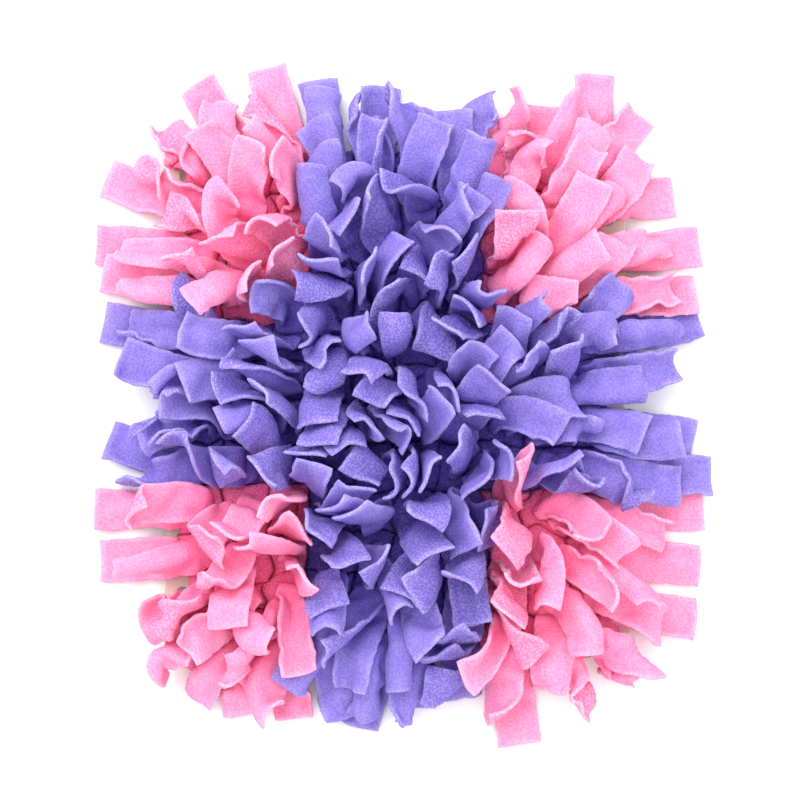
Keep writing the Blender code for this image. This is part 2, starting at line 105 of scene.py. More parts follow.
# The lower tails of the rim, by their knot's column and row and where their tip lies.
RIM_COLUMNS = ("column", "row", "tip_x", "tip_y", "height", "tip_lean")
RIM_TIPS = (
    (0, 11, -0.150, 0.188, 0.020, 88),
    (1, 11, -0.118, 0.224, 0.0018, 90),
    (2, 11, -0.089, 0.229, 0.016, 84),
    (3, 11, -0.066, 0.214, 0.012, 92),
    (4, 11, 0.000, 0.213, 0.0018, 90),
    (5, 11, 0.016, 0.206, 0.020, 96),
    (7, 11, 0.036, 0.203, 0.0018, 90),
    (6, 11, 0.052, 0.190, 0.024, 96),
    (8, 11, 0.086, 0.211, 0.0018, 90),
    (9, 11, 0.106, 0.225, 0.018, 80),
    (9, 10, 0.180, 0.150, 0.0018, 90),
    (9, 9, 0.203, 0.108, 0.0018, 90),
    (9, 8, 0.198, 0.076, 0.008, 96),
    (9, 7, 0.203, 0.046, 0.0018, 90),
    (9, 6, 0.152, 0.034, 0.034, 100),
    (9, 5, 0.196, -0.020, 0.0018, 90),
    (9, 4, 0.206, -0.042, 0.010, 104),
    (9, 3, 0.198, -0.060, 0.005, 92),
    (9, 2, 0.200, -0.091, 0.0018, 90),
    (9, 1, 0.199, -0.129, 0.0018, 90),
    (9, 0, 0.163, -0.166, 0.008, 92),
    (8, 0, 0.096, -0.184, 0.020, 104),
    (7, 0, 0.080, -0.221, 0.0018, 90),
    (6, 0, 0.050, -0.205, 0.008, 96),
    (5, 0, 0.018, -0.203, 0.0018, 90),
    (4, 0, -0.020, -0.216, 0.0018, 90),
    (3, 0, -0.044, -0.208, 0.012, 96),
    (2, 0, -0.058, -0.211, 0.0018, 90),
    (1, 0, -0.104, -0.203, 0.0018, 90),
    (0, 0, -0.134, -0.176, 0.008, 96),
    (0, 1, -0.172, -0.134, 0.002, 90),
    (0, 2, -0.193, -0.112, 0.0018, 90),
    (0, 3, -0.197, -0.078, 0.0018, 90),
    (0, 4, -0.193, -0.036, 0.0018, 90),
    (0, 5, -0.160, -0.034, 0.034, 100),
    (0, 6, -0.162, 0.012, 0.026, 96),
    (0, 7, -0.193, 0.043, 0.0018, 90),
    (0, 8, -0.195, 0.071, 0.008, 96),
    (0, 9, -0.200, 0.100, 0.0018, 90),
    (0, 10, -0.198, 0.133, 0.0018, 90),
)

# The stations along a tail, those where its room is tested, and where it has opened.
STATIONS = 12
CURLED_STATIONS = (0, 2, 4, 6, 8, 10, 12)
OPEN_SHARE = 0.35
ROOT_CURL_SHARE = 0.3
CURL_GROWTH = 1.6
RIM_ROOT_LEAN = 44
HANDLE_STEPS = 4
MIN_HANDLE = 0.012
MAX_HANDLE = 0.045

# The fan that the tails start from: its leans at the rim, in degrees, and how far in
# from the rim they fall to a third or so.
ROOT_LEAN = 40
TIP_LEAN = 105
ROOT_LEAN_REACH = 0.045
TIP_LEAN_REACH = 0.050
RIM_BLEND = 0.020
FIRST_CURL = 0.4

# How far each thing about a tail may stray from the fan, and how far one shake moves it.
# Leans and bend are in degrees, face and twist in radians; curl and wave are the turn
# across the strip, in radians, of a C and of an S; lift is in metres. The columns are
# what strays, the most it may, and one shake.
STRAYS = (
    ("root_lean_x", 14, 5),
    ("root_lean_y", 14, 5),
    ("tip_lean_x", 55, 18),
    ("tip_lean_y", 55, 18),
    ("face", 1.0, 0.3),
    ("bend", 150, 35),
    ("twist", 1.6, 0.45),
    ("curl", 2.4, 0.6),
    ("wave", 2.0, 0.5),
)
RIM_STRAYS = (
    ("root_lean", 28, 10),
    ("swing", 0.2, 0.08),
    ("lift", 0.012, 0.006),
    ("twist", 0.8, 0.3),
    ("curl", 2.0, 0.7),
    ("wave", 1.0, 0.4),
)
LEAN_STRAY_BY_RING = (0.7, 1.0, 1.1, 1.1, 1.1)
KNOT_TURN = (0.0, 0.26, 0.2, 0.2, 0.2)
SHAKES = 24
MAX_SHAKES = 60
SHAKE_SIZES = (2.5, 1.2, 0.5)
NEIGHBOUR_REACH = 0.15
CURL_STEPS = 16
CURL_COLUMNS = 5
CURL_CLEARANCE = 0.0012
EDGE_ROOM = 0.002
SEED = 6

# The pieces' names, and where the camera looks.
BASE_PIECE = "moulded_base_mat"
CAMERA_AIM = (0.002, 0.0, 0.030)
SENSOR_WIDTH = 36

# The softboxes. The fill's side and power are shares of the key's.
KEY_PLACE = (-0.7, 0.9, 1.5)
FILL_PLACE = (1.2, -0.9, 1.4)
FILL_SIZE_SHARE = 1.4
FILL_POWER_SHARE = 0.45


# ---------------------------------------------------------------- layout

def add_prism(builder, outline, bottom, top):
    """An upright prism over a flat outline of (x, y) points."""
    lower = [builder.verts.new((x, y, bottom)) for x, y in outline]
    upper = [builder.verts.new((x, y, top)) for x, y in outline]
    builder.faces.new(lower[::-1])
    builder.faces.new(upper)
    for i, corner in enumerate(lower):
        after = (i + 1) % len(lower)
        builder.faces.new((corner, lower[after], upper[after], upper[i]))


def rectangle(x0, x1, y0, y1):
    return [(x0, y0), (x1, y0), (x1, y1), (x0, y1)]


def hole_x(column):
    return column * HOLE_PITCH - HALF_HOLES_X


def hole_y(row):
    return row * HOLE_PITCH - HALF_HOLES_Y


def knot_x(column):
    return column * HOLE_PITCH - HALF_KNOTS_X


def block_of(x, y):
    """The block of colour that a knot at this place belongs to."""
    if abs(x) < ARM_HALF_WIDTH or abs(y) < ARM_HALF_WIDTH:
        return CROSS
    return next(name for name, sx, sy in PINK_CORNERS if sx * x > 0 and sy * y > 0)


def knots():
    """(x, y, ring) of each knot. Ring 0 is the rim."""
    for row in range(HOLE_ROWS):
        for column in range(KNOT_COLUMNS):
            ring = min(row, column, HOLE_ROWS - 1 - row, KNOT_COLUMNS - 1 - column)
            yield knot_x(column), hole_y(row), ring


def rim_tip(x, y):
    """Where the lower tail of this knot at the rim lies, from the table of rim tips."""
    for row in RIM_TIPS:
        tip = dict(zip(RIM_COLUMNS, row))
        away_x, away_y = x - knot_x(tip["column"]), y - hole_y(tip["row"])
        if math.hypot(away_x, away_y) < HOLE_PITCH / 2:
            return tip
    raise LookupError("no tip for this knot")


def outward(x, y):
    """The azimuth that faces out of the mat: square to a side, and slanting at a corner."""
    u, v = x / HALF_BASE_X, y / HALF_BASE_Y
    return math.atan2(math.copysign(abs(v) ** (FAN_POWER - 1), v),
                      math.copysign(abs(u) ** (FAN_POWER - 1), u))


def curve_controls(root_lean, reach, height, tip_lean):
    """The four control points, out and up, of the curve that a tail of the rim lies in.

    The two inner ones move out until the curve is about as long as the tail.
    """
    root = Vector((0, BACKING_TOP - ROOT_DEPTH))
    tip = Vector((reach, height))
    leans = math.radians(root_lean), math.radians(tip_lean)
    leaves = Vector((math.sin(leans[0]), math.cos(leans[0])))
    arrives = Vector((math.sin(leans[1]), math.cos(leans[1])))
    chord = (tip - root).length
    handle = chord / 3
    for _ in range(HANDLE_STEPS):
        span = (tip - arrives * handle - root - leaves * handle).length
        shortage = RIM_TAIL_LENGTH - (chord + 2 * handle + span) / 2
        handle = min(max(handle + shortage / 2, MIN_HANDLE), MAX_HANDLE)
    return root, root + leaves * handle, tip - arrives * handle, tip


def curve_point(controls, share):
    """A point, out and up, on the curve that a tail lies in, and its lean there."""
    p0, p1, p2, p3 = controls
    s, r = share, 1 - share
    point = r ** 3 * p0 + 3 * r * r * s * p1 + 3 * r * s * s * p2 + s ** 3 * p3
    slope = r * r * (p1 - p0) + 2 * r * s * (p2 - p1) + s * s * (p3 - p2)
    return point.x, point.y, math.atan2(slope.x, slope.y)


def heading(azimuth):
    return Vector((math.cos(azimuth), math.sin(azimuth), 0))


def rim_line(tail):
    """(centre, along) at each station of a lower tail of the rim, which has a set tip."""
    tip = rim_tip(tail["x"], tail["y"])
    away_x, away_y = tip["tip_x"] - tail["x"], tip["tip_y"] - tail["y"]
    away = heading(math.atan2(away_y, away_x) + tail["swing"])
    root = Vector((tail["x"], tail["y"], 0)) + heading(tail["axis"]) * TAIL_SPACING
    controls = curve_controls(tail["root_lean"], math.hypot(away_x, away_y) - TAIL_SPACING,
                              tip["height"] + tail["lift"], tip["tip_lean"])
    line = []
    for station in range(STATIONS + 1):
        out, up, lean = curve_point(controls, station / STATIONS)
        line.append((root + away * out + Vector((0, 0, up)),
                     away * math.sin(lean) + Vector((0, 0, math.cos(lean)))))
    return line


def free_line(tail):
    """(centre, along) at each station of any other tail, from its leans and its bend."""
    place = Vector((tail["x"], tail["y"], BACKING_TOP - ROOT_DEPTH))
    place += heading(tail["axis"]) * TAIL_SPACING * tail["side"]
    root_lean = Vector((tail["root_lean_x"], tail["root_lean_y"], 0))
    tip_lean = Vector((tail["tip_lean_x"], tail["tip_lean_y"], 0))
    bend = heading(tail["face"]) * tail["bend"]
    line = []
    for station in range(STATIONS + 1):
        share = station / STATIONS
        lean = root_lean * (1 - share) + tip_lean * share + bend * share * share
        turn = math.radians(lean.length)
        along = lean.normalized() * math.sin(turn) + Vector((0, 0, math.cos(turn)))
        line.append((place.copy(), along))
        place += along * tail["length"] / STATIONS
    return line


def frames(tail):
    """(centre, across, normal, spread) at each station of a tail."""
    made = []
    for station, (centre, along) in enumerate((rim_line if tail["rim"] else free_line)(tail)):
        share = station / STATIONS
        spread = min(share / OPEN_SHARE, 1)
        spread *= 2 - spread
        turn = tail["axis"] * (1 - spread) + tail["face"] * spread + tail["twist"] * share
        level = Vector((-math.sin(turn), math.cos(turn), 0))
        across = (level - along * level.dot(along)).normalized()
        made.append((centre, across, across.cross(along), spread))
    return made


def curl_profile(curl, wave):
    """Points across a curled strip of width 1, about their own middle."""
    points = [(0.0, 0.0)]
    for step in range(CURL_STEPS):
        u = (step + 0.5) / CURL_STEPS - 0.5
        turn = curl * u + wave * (3 * u * u - 0.25)
        points.append((points[-1][0] + math.cos(turn) / CURL_STEPS,
                       points[-1][1] + math.sin(turn) / CURL_STEPS))
    middle = [sum(p[axis] for p in points) / len(points) for axis in (0, 1)]
    return [(x - middle[0], z - middle[1]) for x, z in points]


def curled_rows(tail, made, stations, columns, offset=0.0):
    """Rows of points over a curled tail, a distance off along its normal."""
    profile = curl_profile(tail["curl"], tail["wave"])
    rows = []
    for station in stations:
        centre, across, normal, spread = made[station]
        width = KNOT_WIDTH + (STRIP_WIDTH - KNOT_WIDTH) * spread
        curled = spread * min(1, ROOT_CURL_SHARE + CURL_GROWTH * station / STATIONS)
        row = []
        for column in range(columns):
            place = column / (columns - 1) * CURL_STEPS
            step = min(int(place), CURL_STEPS - 1)
            (x0, z0), (x1, z1) = profile[step:step + 2]
            x = (x0 + (x1 - x0) * (place - step)) * curled
            x += (place / CURL_STEPS - 0.5) * (1 - curled)
            z = (z0 + (z1 - z0) * (place - step)) * curled
            slope_x = (x1 - x0) * curled + (1 - curled) / CURL_STEPS
            slope_z = (z1 - z0) * curled
            slope = math.hypot(slope_x, slope_z)
            row.append(centre + across * (x * width - slope_z / slope * offset)
                       + normal * (z * width + slope_x / slope * offset))
        rows.append(row)
    return rows


def base_outline(room=0.0):
    half_x, half_y = HALF_BASE_X + room, HALF_BASE_Y + room
    return rectangle(-half_x, half_x, -half_y, half_y)


def knots_outline():
    half_x, half_y = HALF_HOLES_X + BACKING_MARGIN, HALF_HOLES_Y + BACKING_MARGIN
    return rectangle(-half_x, half_x, -half_y, half_y)


def loops_tree(loops):
    """A tree over a closed skin through loops of points, capped at both ends."""
    count = len(loops[0])
    faces = []
    for row in range(len(loops) - 1):
        for i in range(count):
            a, b = row * count + i, row * count + (i + 1) % count
            faces += [(a, b, b + count), (a, b + count, a + count)]
    for start in (0, (len(loops) - 1) * count):
        for i in range(count // 2 - 1):
            far = start + count - 1 - i
            faces += [(start + i, start + i + 1, far - 1), (start + i, far - 1, far)]
    return BVHTree.FromPolygons([point for loop in loops for point in loop], faces)


def prism_tree(outline, bottom, top):
    builder = bmesh.new()
    add_prism(builder, outline, bottom, top)
    builder.normal_update()
    tree = BVHTree.FromBMesh(builder)
    builder.free()
    return tree


def grounds():
    """The base mat and the knots together, with the room that cloth keeps from them."""
    return [prism_tree(base_outline(EDGE_ROOM), 0, BASE_TOP + EDGE_ROOM),
            prism_tree(knots_outline(), BASE_BOTTOM, BACKING_TOP + GAP)]


def rim_distance(x, y):
    """How far a place is in from the rim of the knots, rounded where two sides meet."""
    in_x = HALF_HOLES_X + TAIL_SPACING - abs(x)
    in_y = HALF_HOLES_Y + TAIL_SPACING - abs(y)
    near = max(RIM_BLEND - abs(in_x - in_y), 0) / RIM_BLEND
    return max(0, min(in_x, in_y) - near * near * RIM_BLEND / 4)


def fan():
    """Every tail as it starts: upright in the middle, and leaning out towards the rim."""
    chance = random.Random(SEED)
    tails = []
    for x, y, ring in knots():
        axis = outward(x, y) if ring < 2 else chance.choice((0, math.pi / 2))
        axis += chance.uniform(-1, 1) * KNOT_TURN[ring]
        for side in (1, -1):
            place = heading(axis) * side * HOLE_PITCH / 4
            inwards = rim_distance(x + place.x, y + place.y)
            away = heading(outward(x + place.x, y + place.y))
            root = away * ROOT_LEAN * math.exp(-inwards / ROOT_LEAN_REACH)
            tip = away * TIP_LEAN * math.exp(-inwards / TIP_LEAN_REACH)
            tails.append({
                "x": x, "y": y, "ring": ring, "side": side, "rim": ring == 0 and side > 0,
                "axis": axis, "face": axis, "twist": 0.0, "bend": 0.0, "lift": 0.0,
                "root_lean": RIM_ROOT_LEAN, "swing": 0.0,
                "curl": chance.uniform(-1, 1) * FIRST_CURL, "wave": 0.0,
                "root_lean_x": root.x, "root_lean_y": root.y,
                "tip_lean_x": tip.x, "tip_lean_y": tip.y,
                "length": TAIL_LENGTH * chance.uniform(SHORTEST_SHARE, 1)})
    return tails


def body_of(tail, solid_trees):
    """The room that a tail takes, and whether it is clear of the mat and the knots."""
    made = frames(tail)
    lower = curled_rows(tail, made, CURLED_STATIONS, CURL_COLUMNS, -CURL_CLEARANCE)
    upper = curled_rows(tail, made, CURLED_STATIONS, CURL_COLUMNS, CURL_CLEARANCE)
    loops = [below + above[::-1] for below, above in zip(lower, upper)]
    points = [p for loop in loops for p in loop]
    box = [(min(p[axis] for p in points), max(p[axis] for p in points)) for axis in range(3)]
    free = loops_tree(loops[2:])
    clear = box[2][0] > 0 and not any(free.overlap(ground) for ground in solid_trees)
    return {"box": box, "tree": loops_tree(loops), "clear": clear}


def meet(one, other):
    return (all(a[0] < b[1] and b[0] < a[1] for a, b in zip(one["box"], other["box"]))
            and bool(one["tree"].overlap(other["tree"])))


def shaken(chance, tail, start, size):
    """A tail moved a little by chance, but never far from how it started."""
    moved = dict(tail)
    for what, most, shake in RIM_STRAYS if tail["rim"] else STRAYS:
        if what.endswith(("_x", "_y")):
            most *= LEAN_STRAY_BY_RING[tail["ring"]]
        least = 0 if what == "lift" else -most
        stray = tail[what] - start[what] + chance.gauss(0, shake) * size
        moved[what] = start[what] + max(least, min(most, stray))
    return moved


def make_tails():
    """Every tail, shaken by chance again and again until no two of them meet."""
    chance = random.Random(SEED)
    starts = fan()
    solid_trees = grounds()
    tails = list(starts)
    bodies = [body_of(tail, solid_trees) for tail in tails]
    near = [[j for j, other in enumerate(tails) if i != j and
             math.hypot(tail["x"] - other["x"], tail["y"] - other["y"]) < NEIGHBOUR_REACH]
            for i, tail in enumerate(tails)]

    def faults(index, body):
        return (not body["clear"]) + sum(meet(body, bodies[j]) for j in near[index])

    order = list(range(len(tails)))
    for turn in range(MAX_SHAKES):
        if turn >= SHAKES and not any(faults(i, bodies[i]) for i in order):
            break
        chance.shuffle(order)
        for i in order:
            for size in SHAKE_SIZES:
                moved = shaken(chance, tails[i], starts[i], size)
                body = body_of(moved, solid_trees)
                found = faults(i, body)
                if found and found >= faults(i, bodies[i]):
                    continue
                tails[i], bodies[i] = moved, body
                break
    else:
        raise RuntimeError("some tails still meet")
    return tails


# ---------------------------------------------------------------- cloth

# The settling. The grid of each tail is coarse, and a smooth surface is read from it.
GRID_COLUMNS = 5
SETTLE_FRAMES = 8
GROUND_GAP = 0.0015
GROUND_FRICTION = 10
CLOTH = {
    "quality": 6, "mass": 0.3, "air_damping": 0.5,
    "tension_stiffness": 15, "compression_stiffness": 15,
    "shear_stiffness": 5, "bending_stiffness": 5,
    "tension_damping": 6, "compression_damping": 6,
    "shear_damping": 6, "bending_damping": 0.5,
}
CONTACT = {
    "collision_quality": 3, "distance_min": GROUND_GAP,
    "use_self_collision": True, "self_distance_min": 0.0026, "self_friction": 6,
}
FLOOR_HALF_WIDTH = 0.4
FLOOR_DEPTH = 0.05
KNOT_SOFTNESS = 0.004
ROOT_PINS = (1.0, 0.7)
RELAXED_CURL = 0.5
RELAXED_BEND = (12, 60)
SETTLE_SEED = 8


def relaxed(chance, tail):
    """The shape that a tail would take if nothing held it: less curled, and bent over."""
    shape = dict(tail, curl=tail["curl"] * RELAXED_CURL, wave=tail["wave"] * RELAXED_CURL)
    if not tail["rim"]:
        shape["bend"] += math.copysign(chance.uniform(*RELAXED_BEND), tail["bend"])
    return shape


def grid_of(tail):
    return curled_rows(tail, frames(tail), range(STATIONS + 1), GRID_COLUMNS)


def set_all(owner, values):
    for name, value in values.items():
        setattr(owner, name, value)


def add_ground(name, outline, bottom, top):
    """A plain solid that the cloth lies on while it settles."""
    builder = bmesh.new()
    add_prism(builder, outline, bottom, top)
    ground = add_mesh(name, builder)
    ground.modifiers.new("ground", "COLLISION")
    ground.collision.thickness_outer = GROUND_GAP
    ground.collision.cloth_friction = GROUND_FRICTION
    return ground


def add_grounds():
    half = FLOOR_HALF_WIDTH
    return [add_ground("settling_floor", rectangle(-half, half, -half, half), -FLOOR_DEPTH, 0),
            add_ground("settling_base", base_outline(), 0, BASE_TOP),
            add_ground("settling_knots", knots_outline(),
                       BASE_BOTTOM, BACKING_TOP - KNOT_SOFTNESS)]


def settled(tails):
    """The grid points of every tail after the cloth has settled: tail, row, column, xyz."""
    chance = random.Random(SETTLE_SEED)
    rows, columns = STATIONS + 1, GRID_COLUMNS
    start = np.array([grid_of(tail) for tail in tails])
    rest = np.array([grid_of(relaxed(chance, tail)) for tail in tails])
    index = np.arange(start.size // 3).reshape(len(tails), rows, columns)
    corners = (index[:, :-1, :-1], index[:, :-1, 1:], index[:, 1:, 1:], index[:, 1:, :-1])
    faces = np.stack(corners, axis=-1).reshape(-1, 4)
    mesh = bpy.data.meshes.new("settling")
    mesh.from_pydata(start.reshape(-1, 3).tolist(), [], faces.tolist())
    cloth = add_object("settling", mesh)
    scene = bpy.context.scene
    bpy.context.view_layer.objects.active = cloth
    cloth.shape_key_add(name="start")
    key = cloth.shape_key_add(name="relaxed")
    key.data.foreach_set("co", rest.ravel())
    key.value = 0
    pins = cloth.vertex_groups.new(name="roots")
    for row, weight in enumerate(ROOT_PINS):
        pins.add(index[:, row].ravel().tolist(), weight, "REPLACE")
    modifier = cloth.modifiers.new("settle", "CLOTH")
    set_all(modifier.settings, CLOTH)
    modifier.settings.vertex_group_mass = pins.name
    modifier.settings.rest_shape_key = key
    set_all(modifier.collision_settings, CONTACT)
    grounds_made = add_grounds()
    scene.frame_start, scene.frame_end = 1, SETTLE_FRAMES
    modifier.point_cache.frame_start, modifier.point_cache.frame_end = 1, SETTLE_FRAMES
    for step in range(1, SETTLE_FRAMES + 1):
        scene.frame_set(step)
    evaluated = cloth.evaluated_get(bpy.context.evaluated_depsgraph_get())
    points = np.empty(start.size)
    evaluated.data.vertices.foreach_get("co", points)
    for helper in (cloth, *grounds_made):
        bpy.data.objects.remove(helper)
    scene.frame_set(1)
    return points.reshape(start.shape)


# ---------------------------------------------------------------- fleece meshes

# What the points of a fleece mesh carry for its material: how strongly a cut edge is painted
# paler as a highlight, which side is the smoother back, and how strongly a painted shade
# deepens the colour near the knots.
MARKS = ("painted_edge_highlight", "smooth_side", "painted_root_shade")

# Where a smooth tail has its points, as shares of the grid. From a cut edge inwards, EDGES has
# the share of the thickness and how much painted highlight the point gets at the cut edge.
EDGE_SHARE = 0.029
ACROSS = (0, EDGE_SHARE, 0.125, 0.25, 0.375, 0.5, 0.625, 0.75, 0.875, 1 - EDGE_SHARE, 1)
ALONG_STEPS = 24
TIP_SHARE = 0.011
EDGES = ((0.5, 1.0), (0.92, 0.6))
ROOT_SHARE = 0.3
# How far along a tail, from its root, a painted shade deepens the colour.
ROOT_SHADE_SHARE = 0.6
WAVE_SIZE = 0.011
RAGGED_SIZE = 0.0035
KNOT_TURNS = 16
KNOT_SIDES = 8
KNOT_RADIUS = 0.0073
KNOT_SQUARENESS = 1.0
KNOT_BAND_HALF_WIDTH = 0.0064
KNOT_BAND_HALF_HEIGHT = 0.0038
KNOT_RISE = 0.0009
KNOT_UNEVENNESS = 0.12
KNOT_SHIFT = 0.009
KNOT_SHIFT_SIZE = 0.016
LOOP_SIDES = 6
HOLE_SHIFT = 0.0026

# A loop's ends, out from its knot, and its two bends at a hole: how far in from the hole,
# how far down from the top level or up from the low one, and the share of its width.
LOOP_TOP_END = 0.0052
LOOP_LOW_END = 0.003
LOOP_TOP_BEND = ((0.0028, 0, 0.7), (0.0008, 0.001, 0.5), (0, 0.003, 0.5))
LOOP_LOW_BEND = ((0, 0.0026, 0.5), (0.0008, 0.0008, 0.5), (0.0028, 0, 0.7))

# The base mat's edges.
WELD_DISTANCE = 1e-5
LEVEL_TOLERANCE = 1e-6
SHARP_ANGLE = 50
ROUNDING_STEPS = 2


def add_object(name, data):
    """A new object in the scene that shows this mesh, light or camera."""
    made = bpy.data.objects.new(name, data)
    bpy.context.scene.collection.objects.link(made)
    return made


def add_mesh(name, builder, finish=None):
    mesh = bpy.data.meshes.new(name)
    bmesh.ops.recalc_face_normals(builder, faces=builder.faces)
    builder.to_mesh(mesh)
    builder.free()
    if finish:
        mesh.materials.append(finish)
    return add_object(name, mesh)


def skin_faces(rows, around, closed=False):
    """The faces of one skin through rows of points: quads, and quads over its two ends."""
    faces = [(row * around + i, row * around + (i + 1) % around,
              (row + 1) % rows * around + (i + 1) % around, (row + 1) % rows * around + i)
             for row in range(rows if closed else rows - 1) for i in range(around)]
    if not closed:
        faces += [(start + i, start + i + 1, start + around - 2 - i, start + around - 1 - i)
                  for start in (0, (rows - 1) * around) for i in range(around // 2 - 1)]
    return np.array(faces)


def add_skins(name, skins, finish):
    """One mesh of many closed skins.

    Each entry is an array (skin, row, point, xyz), whether its rows close on themselves,
    and the MARKS of the points of one skin.
    """
    points, faces, marks, count = [], [], [], 0
    for array, closed, *marked in skins:
        many, rows, around, _ = array.shape
        starts = count + np.arange(many)[:, None, None] * rows * around
        faces.append((skin_faces(rows, around, closed)[None] + starts).reshape(-1, 4))
        points.append(array.reshape(-1, 3))
        marks.append([np.broadcast_to(mark, (many, rows, around)).ravel() for mark in marked])
        count += many * rows * around
    mesh = bpy.data.meshes.new(name)
    mesh.from_pydata(np.concatenate(points).tolist(), [], np.concatenate(faces).tolist())
    for label, values in zip(MARKS, zip(*marks)):
        mesh.attributes.new(label, "FLOAT", "POINT").data.foreach_set(
            "value", np.concatenate(values))
    builder = bmesh.new()
    builder.from_mesh(mesh)
    bmesh.ops.recalc_face_normals(builder, faces=builder.faces)
    builder.to_mesh(mesh)
    builder.free()
    mesh.materials.append(finish)
    mesh.shade_smooth()
    return add_object(name, mesh)


def spline_weights(count, places):
    """Weights that read a smooth curve through a row of count values at places 0 to 1."""
    weights = np.zeros((len(places), count))
    for row, place in enumerate(places):
        spot = place * (count - 1)
        first = min(int(spot), count - 2)
        t = spot - first
        parts = (-0.5 * t + t * t - 0.5 * t ** 3, 1 - 2.5 * t * t + 1.5 * t ** 3,
                 0.5 * t + 2 * t * t - 1.5 * t ** 3, 0.5 * (t ** 3 - t * t))
        for offset, part in enumerate(parts):
            column = first - 1 + offset
            if column < 0:
                weights[row, 0] += 2 * part
                weights[row, 1] -= part
            elif column >= count:
                weights[row, -1] += 2 * part
                weights[row, -2] -= part
            else:
                weights[row, column] += part
    return weights


def strip_skins(points, fleece):
    """The skins of the tails that settled at these points."""
    along = [step / ALONG_STEPS * (1 - TIP_SHARE) for step in range(ALONG_STEPS + 1)] + [1]
    rows = spline_weights(points.shape[1], along)
    columns = spline_weights(points.shape[2], ACROSS)
    middle = np.einsum("ri,tijk,cj->trck", rows, points, columns)
    down, across = np.gradient(middle, axis=1), np.gradient(middle, axis=2)
    normal = np.cross(across, down)
    normal /= np.linalg.norm(normal, axis=-1, keepdims=True)
    wave = np.array([noise.noise(Vector(p) / WAVE_SIZE) for p in middle.reshape(-1, 3)])
    rise = np.minimum(np.array(along) / ROOT_SHARE, 1)[None, :, None]
    middle += normal * (wave.reshape(middle.shape[:3]) * fleece.edge_wave * rise)[..., None]
    ragged = np.array([noise.noise(Vector(p) / RAGGED_SIZE)
                       for p in middle[:, :, (0, -1)].reshape(-1, 3)])
    ragged = ragged.reshape(middle.shape[0], middle.shape[1], 2) * fleece.ragged_edge * rise
    sideways = across / np.linalg.norm(across, axis=-1, keepdims=True)
    for column, inset in ((0, 1), (-1, -2)):
        shift = sideways[:, :, column] * ragged[..., column][..., None]
        middle[:, :, column] += shift
        middle[:, :, inset] += shift
    deep = np.full((len(along), len(ACROSS)), fleece.strip_thickness / 2)
    deep *= 1 + (KNOT_THICKNESS / fleece.strip_thickness - 1) * (1 - rise[0]) ** 2
    # How strongly each point is painted paler as a highlight at a cut edge.
    edge = np.zeros(deep.shape)
    for inset, (share, mark) in enumerate(EDGES):
        for part in (np.s_[:, inset], np.s_[:, -1 - inset], np.s_[-1 - inset]):
            deep[part] *= share
            edge[part] = np.maximum(edge[part], mark)
    half = normal * deep[None, ..., None]
    skin = np.concatenate([middle - half, (middle + half)[:, :, ::-1]], axis=2)
    smooth = np.concatenate([np.ones(deep.shape), np.zeros(deep.shape)], axis=1)
    # Painted shade near the knot: full at the root, gone six tenths of the way along.
    root_shade = np.maximum(1 - np.array(along) / ROOT_SHADE_SHARE, 0)[:, None]
    return skin, False, np.concatenate([edge, edge[:, ::-1]], axis=1), smooth, root_shade


def tube(centres, sides, ups, corners):
    """Rings of an oval section along a line; sides and ups are its half width and height."""
    turns = np.arange(corners) * 2 * math.pi / corners
    return (centres[:, None] + sides[:, None] * np.cos(turns)[None, :, None]
            + ups[:, None] * np.sin(turns)[None, :, None])


def knot_skin(chance, tail):
    """The squarish lump of a knot, round two tails' roots and pressed by its neighbours.

    One field of noise shifts all the knots, so the seams between them wander and yet
    hardly any two knots press into each other.
    """
    turns = np.arange(KNOT_TURNS) * 2 * math.pi / KNOT_TURNS
    start = chance.uniform(0, 2 * math.pi)
    square = np.maximum(np.abs(np.cos(turns)), np.abs(np.sin(turns))) ** -KNOT_SQUARENESS
    out = np.stack([np.cos(turns), np.sin(turns), 0 * turns], axis=1)
    centres = out * (square * KNOT_RADIUS)[:, None]
    centres += (tail["x"], tail["y"], BACKING_BOTTOM + KNOT_BAND_HALF_HEIGHT + KNOT_RISE)
    centres[:, 2] += KNOT_RISE * np.sin(2 * turns + start)
    ups = np.zeros((KNOT_TURNS, 3))
    ups[:, 2] = KNOT_BAND_HALF_HEIGHT * (1 + KNOT_UNEVENNESS * np.sin(3 * turns + start))
    rings = tube(centres, out * (square * KNOT_BAND_HALF_WIDTH)[:, None], ups, KNOT_SIDES)
    shift = np.array([noise.noise_vector(Vector((x, y, 0)) / KNOT_SHIFT_SIZE)
                      for x, y, _ in rings.reshape(-1, 3)]).reshape(rings.shape)
    return rings + shift * (KNOT_SHIFT, KNOT_SHIFT, 0)


def loop_skin(tail):
    """A strip from its knot down one hole, under the mat and up the next."""
    low, high = LOOP_THICKNESS / 2, BASE_TOP + LOOP_THICKNESS / 2 + GAP
    hole = HOLE_PITCH / 2 - HOLE_SHIFT
    half = [(LOOP_TOP_END, high, 1),
            *((hole - back, high - down, wide) for back, down, wide in LOOP_TOP_BEND),
            *((hole - back, low + up, wide) for back, up, wide in LOOP_LOW_BEND),
            (LOOP_LOW_END, low, 1)]
    along, side = np.array((1, 0, 0)), np.array((0, 1, 0))
    line = [(-out, up, wide) for out, up, wide in half] + half[::-1]
    centres = np.array([along * out + (0, 0, up) for out, up, _ in line])
    ahead = np.gradient(centres, axis=0)
    ups = np.cross(ahead, side)
    ups *= LOOP_THICKNESS / 2 / np.linalg.norm(ups, axis=1, keepdims=True)
    widths = np.array([wide for _, _, wide in line]) * LOOP_WIDTH / 2
    return tube(centres + (tail["x"], tail["y"], 0), side * widths[:, None], ups, LOOP_SIDES)


